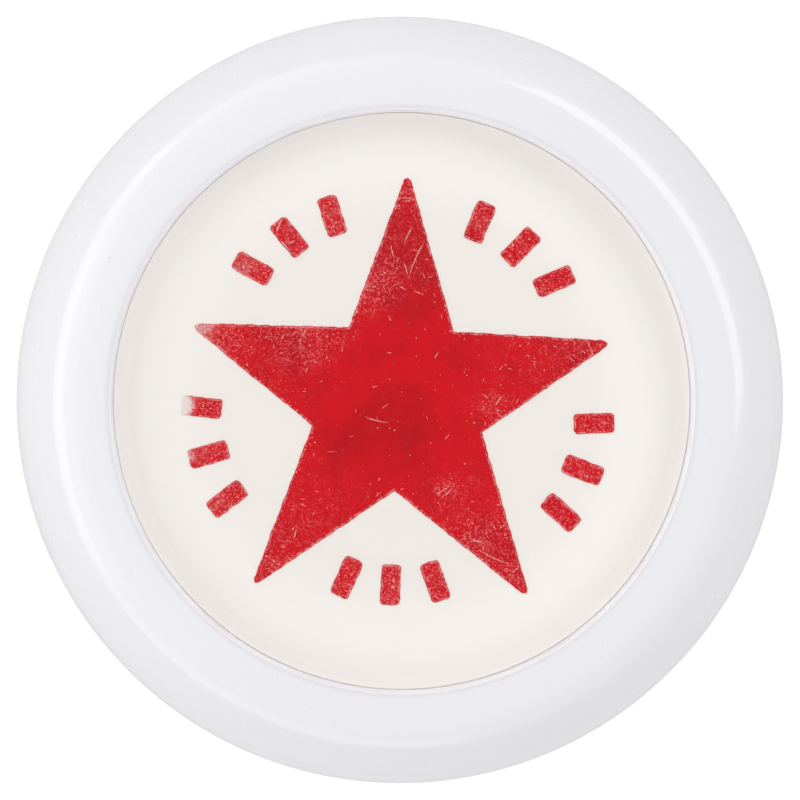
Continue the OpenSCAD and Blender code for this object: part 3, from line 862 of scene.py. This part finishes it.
def make_skirt():
    """The white outer shell, with a raised arrowhead on its front."""
    low, high, wide = span("skirt_shell")
    step = span("dust_cap")[1] + 0.4
    outline = soften(
        [
            (16.5, low, 0.15),
            (17.8, low, 0.15),
            (17.8, step, 0.08),
            (wide, step, 0.35),
            (wide - 0.9, high, 2.4),
            (15.6, high, 0.25),
            (15.6, high - 1.2, 0.1),
            (16.5, high - 1.2, 0.1),
        ],
        10,
    )
    finish_mesh("skirt_outer", turned(outline, 256), WHITE, "skirt", ["skirt_shell"])
    bm = bmesh.new()
    columns, rows = 24, 14
    mark_low, mark_tall, mark_half, mark_tip, proud_max = 19, 4.2, 2.3, 0.12, 0.4
    front, back = [], []
    for j in range(rows + 1):
        height = mark_low + mark_tall * j / rows
        half = mark_half * (1 - j / rows) + mark_tip
        wall = wide - 0.9 * (height - step) / (high - step)
        front.append([])
        back.append([])
        for i in range(columns + 1):
            x = half * (2 * i / columns - 1)
            away = max(0, min(half - abs(x), height - mark_low, mark_low + mark_tall + 0.1 - height))
            proud = proud_max * min(1, away / 0.3) ** 0.5 - 0.12
            for grid, r in ((front, wall + proud), (back, wall - 0.4)):
                grid[j].append(bm.verts.new((x * MM, -math.sqrt(r * r - x * x) * MM, height * MM)))
    for j in range(rows):
        for i in range(columns):
            for grid in (front, back):
                bm.faces.new([grid[j][i], grid[j][i + 1], grid[j + 1][i + 1], grid[j + 1][i]])
        for i in (0, columns):
            bm.faces.new([front[j][i], front[j + 1][i], back[j + 1][i], back[j][i]])
    for i in range(columns):
        for j in (0, rows):
            bm.faces.new([front[j][i], front[j][i + 1], back[j][i + 1], back[j][i]])
    finish_mesh("orientation_mark", bm, INNER, "skirt", sharp_deg=60)


def make_cap():
    """The frosted dust cap, with rounded grip flutes round its wall."""
    _, high, wide = span("dust_cap")
    foot = span("foot_ring")[0]
    outline = soften(
        [
            (0, 0.3, 0),
            (13.0, 0.3, 0.2),
            (13.4, 0, 0.2),
            (wide, 0, 0.9),
            (wide, 1.6, 0),
            (wide, 2.3, 0),
            (wide, 3.0, 0),
            (wide, high - 2.6, 0),
            (wide, high - 1.9, 0),
            (wide, high - 1.2, 0),
            (wide, high, 0.5),
            (17.9, high, 0.3),
            (17.9, foot, 0.2),
            (15.2, foot, 0.15),
            (15.0, 1.2, 0.2),
            (0, 1.2, 0),
        ],
        6,
    )
    flutes = 40
    bm = turned(outline, flutes * 12)
    for v in bm.verts:
        r, z = math.hypot(v.co.x, v.co.y) / MM, v.co.z / MM
        if r < wide - 0.01:
            continue
        reach = min(1, max(0, (z - 1.6) / 1.0)) * min(1, max(0, (high - 1.2 - z) / 1.0))
        wave = 0.5 + 0.5 * math.cos(flutes * math.atan2(v.co.y, v.co.x))
        depth = 0.55 * wave**1.5 * reach
        v.co.x *= (r - depth) / r
        v.co.y *= (r - depth) / r
    return finish_mesh("dust_cap_shell", bm, FROSTED, "cap", ["dust_cap"])


def make_foot():
    low, high, _ = span("foot_ring")
    outline = soften([(15.45, low, 0.3), (17.7, low, 0.4), (17.7, high, 0.05), (15.45, high, 0.05)], 6)
    return finish_mesh("foot_ring_soft", turned(outline), SOFT, "skirt", ["foot_ring"])


def make_bush():
    low, high, wide = span("neck_bush")
    shell_top = span("skirt_shell")[1]
    outline = soften(
        [
            (15.12, low, 0.1),
            (wide, low, 0.1),
            (wide, shell_top - 1.2, 0.08),
            (15.55, shell_top - 1.2, 0.05),
            (15.55, high, 0.15),
            (15.12, high, 0.15),
        ],
        4,
    )
    return finish_mesh("neck_bush_ring", turned(outline), GREY, "skirt", ["neck_bush"])


# ---------------------------------------------------------------- inside


def make_spring():
    """The return spring, as one tube of round wire with closed ends."""
    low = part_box("spring_seat_lower")[1].z / MM
    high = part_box("spring_seat_upper")[0].z / MM
    wire, radius, turns, sides, per_turn = 0.9, 12.9, 8, 14, 64
    start, end = low + wire / 2 + 0.02, high - wire / 2 - 0.04
    closed = wire * 1.04
    free = end - start - 2 * closed
    bm = bmesh.new()
    rings = []
    for i in range(turns * per_turn + 1):
        t = i / per_turn
        if t < 1:
            z = start + closed * t
        elif t > turns - 1:
            z = end - closed * (turns - t)
        else:
            share = (t - 1) / (turns - 2)
            z = start + closed + free * share
        a = 2 * math.pi * t
        ring = []
        for k in range(sides):
            b = 2 * math.pi * k / sides
            r = radius + wire / 2 * math.cos(b)
            height = z + wire / 2 * math.sin(b)
            ring.append(bm.verts.new((r * math.cos(a) * MM, r * math.sin(a) * MM, height * MM)))
        rings.append(ring)
    for a, b in zip(rings, rings[1:]):
        for k in range(sides):
            bm.faces.new([a[k], b[k], b[(k + 1) % sides], a[(k + 1) % sides]])
    bm.faces.new(rings[0])
    bm.faces.new(list(reversed(rings[-1])))
    spring = finish_mesh("spring_coil", bm, SPRING_STEEL, "skirt", ["return_spring"])
    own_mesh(spring)
    return spring


def make_die():
    """The porous die: a disc with the star and ray marks in relief, softened at their edges."""
    face, back, wide = span("stamp_die")
    base = face + 1.4
    bm = turned(soften([(0, base, 0), (wide, base, 0.15), (wide, back, 0.1), (0, back, 0)], 4))
    shapes = [star_points(0.995)] + ray_marks(0.02)
    for points in shapes:
        middle = sum(points, Vector((0, 0))) / len(points)
        levels = [(1.06, base + 0.05), (1.03, base - 0.25), (1.0, face + 0.12)]
        levels += [(0.985, face + 0.03), (0.965, face)]
        rings = []
        for grow, z in levels:
            ring = [middle + (p - middle) * grow for p in points]
            rings.append([bm.verts.new((p.x * MM, p.y * MM, z * MM)) for p in ring])
        for a, b in zip(rings, rings[1:]):
            for k in range(len(points)):
                n = (k + 1) % len(points)
                bm.faces.new([a[k], a[n], b[n], b[k]])
        bm.faces.new(rings[-1])
        bm.faces.new(list(reversed(rings[0])))
    return finish_mesh("die_relief", bm, DIE, "plunger", ["stamp_die"])


def make_felt():
    """The ink block: a felt disc with a soft, uneven skin."""
    low, high, wide = span("ink_reservoir")
    side = [(wide, low + (high - low) * k / 14) for k in range(1, 14)]
    lids = [wide * k / 12 for k in range(1, 12)]
    outline = [(0, low)] + [(r, low) for r in lids] + side
    outline += [(r, high) for r in reversed(lids)] + [(0, high)]
    bm = turned(outline, 144)
    for v in bm.verts:
        p = v.co / MM
        rough = noise.noise(p * 1.3) + 0.5 * noise.noise(p * 4.1)
        on_side = math.hypot(p.x, p.y) > wide - 0.01
        inward = Vector((-p.x, -p.y, 0)).normalized() if on_side else Vector((0, 0, 0))
        v.co += (inward * (0.12 + 0.1 * rough) + Vector((0, 0, 0.03 * rough))) * MM
    return finish_mesh("felt_block", bm, FELT, "plunger", ["ink_reservoir"], sharp_deg=70)


def dress(node, material, bevel_mm=0.06):
    """Gives a CAD node its material, with its sharp edges broken by a small bevel."""
    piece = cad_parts[node]
    piece.data.materials.clear()
    piece.data.materials.append(material)
    weld = piece.modifiers.new("weld", "WELD")
    weld.merge_threshold = 1e-6
    bevel = piece.modifiers.new("bevel", "BEVEL")
    bevel.width = bevel_mm * MM
    bevel.segments = 2
    bevel.limit_method = "ANGLE"
    bevel.angle_limit = math.radians(40)
    bevel.use_clamp_overlap = True


make_crown()
make_base()
make_window()
make_card()
make_print()
make_scratches()
make_skirt()
make_cap()
make_foot()
make_bush()
make_spring()
make_die()
make_felt()
dress("guide_sleeve", INNER)
dress("piston", INNER)
dress("feed_plate", INNER)
dress("die_collar", GREY)
dress("refill_plugs", SOFT)
dress("stop_bumper", SOFT)
dress("spring_seat_lower", ZINC, 0.04)
dress("spring_seat_upper", ZINC, 0.04)
dress("knob_screw", ZINC, 0.03)
dress("screw_washer", ZINC, 0.04)


# ---------------------------------------------------------------- camera, light and floor

scene = bpy.context.scene
IMAGE_PX = 800
OUTLINE_PX = 383.5
SENSOR = 36.0
LENS = 500.0
RIM_Z = 46.03
CAMERA_LEAN = (-13.0, 6.7)
LIGHT_DISTANCE = 0.6
SKY = 0.98
BRIGHT_SIDE = (-0.09, 0.05, 0)
FLOOR_TONE = 0.71
FLOOR_LIFT = 0.42


def make_camera():
    """Nearly straight down, from far off, with the knob's outline OUTLINE_PX from the middle of the image."""
    data = bpy.data.cameras.new("camera")
    data.sensor_width = SENSOR
    data.lens = LENS
    half_width = knob_r * (IMAGE_PX / 2) / OUTLINE_PX
    distance = half_width * LENS / (SENSOR / 2)
    data.clip_start, data.clip_end = 0.01, 20
    camera = bpy.data.objects.new("camera", data)
    aim = Vector((0, 0, RIM_Z * MM))
    back = Vector((*CAMERA_LEAN, distance)).normalized()
    right = Vector((0, 1, 0)).cross(back).normalized()
    turn = Matrix((right, back.cross(right), back)).transposed()
    camera.matrix_world = Matrix.Translation(aim + back * distance * MM) @ turn.to_4x4()
    scene.collection.objects.link(camera)
    scene.camera = camera


def make_light(name, azimuth, elevation, width, height, radiance):
    """A soft box LIGHT_DISTANCE from the knob. Its place and size are angles in degrees from there."""
    data = bpy.data.lights.new(name, "AREA")
    data.shape = "RECTANGLE"
    data.size = 2 * LIGHT_DISTANCE * math.tan(math.radians(width / 2))
    data.size_y = 2 * LIGHT_DISTANCE * math.tan(math.radians(height / 2))
    data.energy = radiance * math.pi * data.size * data.size_y
    light = bpy.data.objects.new(name, data)
    a, e = math.radians(azimuth), math.radians(elevation)
    way = Vector((math.cos(a) * math.cos(e), math.sin(a) * math.cos(e), math.sin(e)))
    light.location = Vector((0, 0, RIM_Z * MM)) + way * LIGHT_DISTANCE
    light.rotation_mode = "QUATERNION"
    light.rotation_quaternion = way.to_track_quat("Z", "Y")
    scene.collection.objects.link(light)
    light.visible_camera = False


def make_floor():
    """A pale floor. It shows brighter than the light it sends back, so the background is clean white."""
    s = Surface("floor_pale")
    tone = s.mix(s.noise(0.01, 2.0), (FLOOR_TONE, FLOOR_TONE, FLOOR_TONE), (FLOOR_TONE + 0.01,) * 3)
    seen = s.add("ShaderNodeLightPath").outputs["Is Camera Ray"]
    lift = s.math("MULTIPLY", seen, FLOOR_LIFT)
    material = s.done(s.shader(tone, 0.9, Emission_Color=(1, 1, 1, 1), Emission_Strength=lift))
    bm = bmesh.new()
    bmesh.ops.create_circle(bm, cap_ends=True, segments=96, radius=6.0)
    mesh = bpy.data.meshes.new("floor")
    bm.to_mesh(mesh)
    bm.free()
    mesh.materials.append(material)
    floor = bpy.data.objects.new("floor", mesh)
    scene.collection.objects.link(floor)


def make_world():
    """A white studio, a little brighter on BRIGHT_SIDE, and dark overhead, where the camera stands."""
    world = bpy.data.worlds.new("studio")
    world.use_nodes = True
    tree = world.node_tree
    way = tree.nodes.new("ShaderNodeTexCoord").outputs["Generated"]
    height = tree.nodes.new("ShaderNodeSeparateXYZ")
    tree.links.new(way, height.inputs[0])
    band = tree.nodes.new("ShaderNodeMapRange")
    band.interpolation_type = "SMOOTHSTEP"
    tree.links.new(height.outputs["Z"], band.inputs["Value"])
    edges = (math.cos(math.radians(9)), math.cos(math.radians(6)), SKY, 0.0)
    for key, value in zip(("From Min", "From Max", "To Min", "To Max"), edges):
        band.inputs[key].default_value = value
    lean = tree.nodes.new("ShaderNodeVectorMath")
    lean.operation = "DOT_PRODUCT"
    tree.links.new(way, lean.inputs[0])
    lean.inputs[1].default_value = BRIGHT_SIDE
    side = tree.nodes.new("ShaderNodeMath")
    side.operation = "MULTIPLY_ADD"
    tree.links.new(lean.outputs["Value"], side.inputs[0])
    tree.links.new(band.outputs["Result"], side.inputs[1])
    tree.links.new(band.outputs["Result"], side.inputs[2])
    seen = tree.nodes.new("ShaderNodeLightPath").outputs["Is Camera Ray"]
    strength = tree.nodes.new("ShaderNodeMath")
    strength.operation = "MAXIMUM"
    tree.links.new(side.outputs[0], strength.inputs[0])
    tree.links.new(seen, strength.inputs[1])
    tree.links.new(strength.outputs[0], tree.nodes["Background"].inputs["Strength"])
    tree.nodes["Background"].inputs["Color"].default_value = (1, 1, 1, 1)
    scene.world = world


make_camera()
make_floor()
make_world()
make_light("softbox_left_low", 170, 14, 76, 34, 0.55)
make_light("softbox_left", 180, 40, 50, 50, 0.28)
make_light("softbox_right", 32, 36, 58, 26, 1.05)
make_light("softbox_back_low", 120, 12, 40, 18, 0.3)
make_light("softbox_front_low", 245, 18, 70, 26, 0.35)
scene.view_settings.view_transform = "Standard"
scene.view_settings.look = "None"
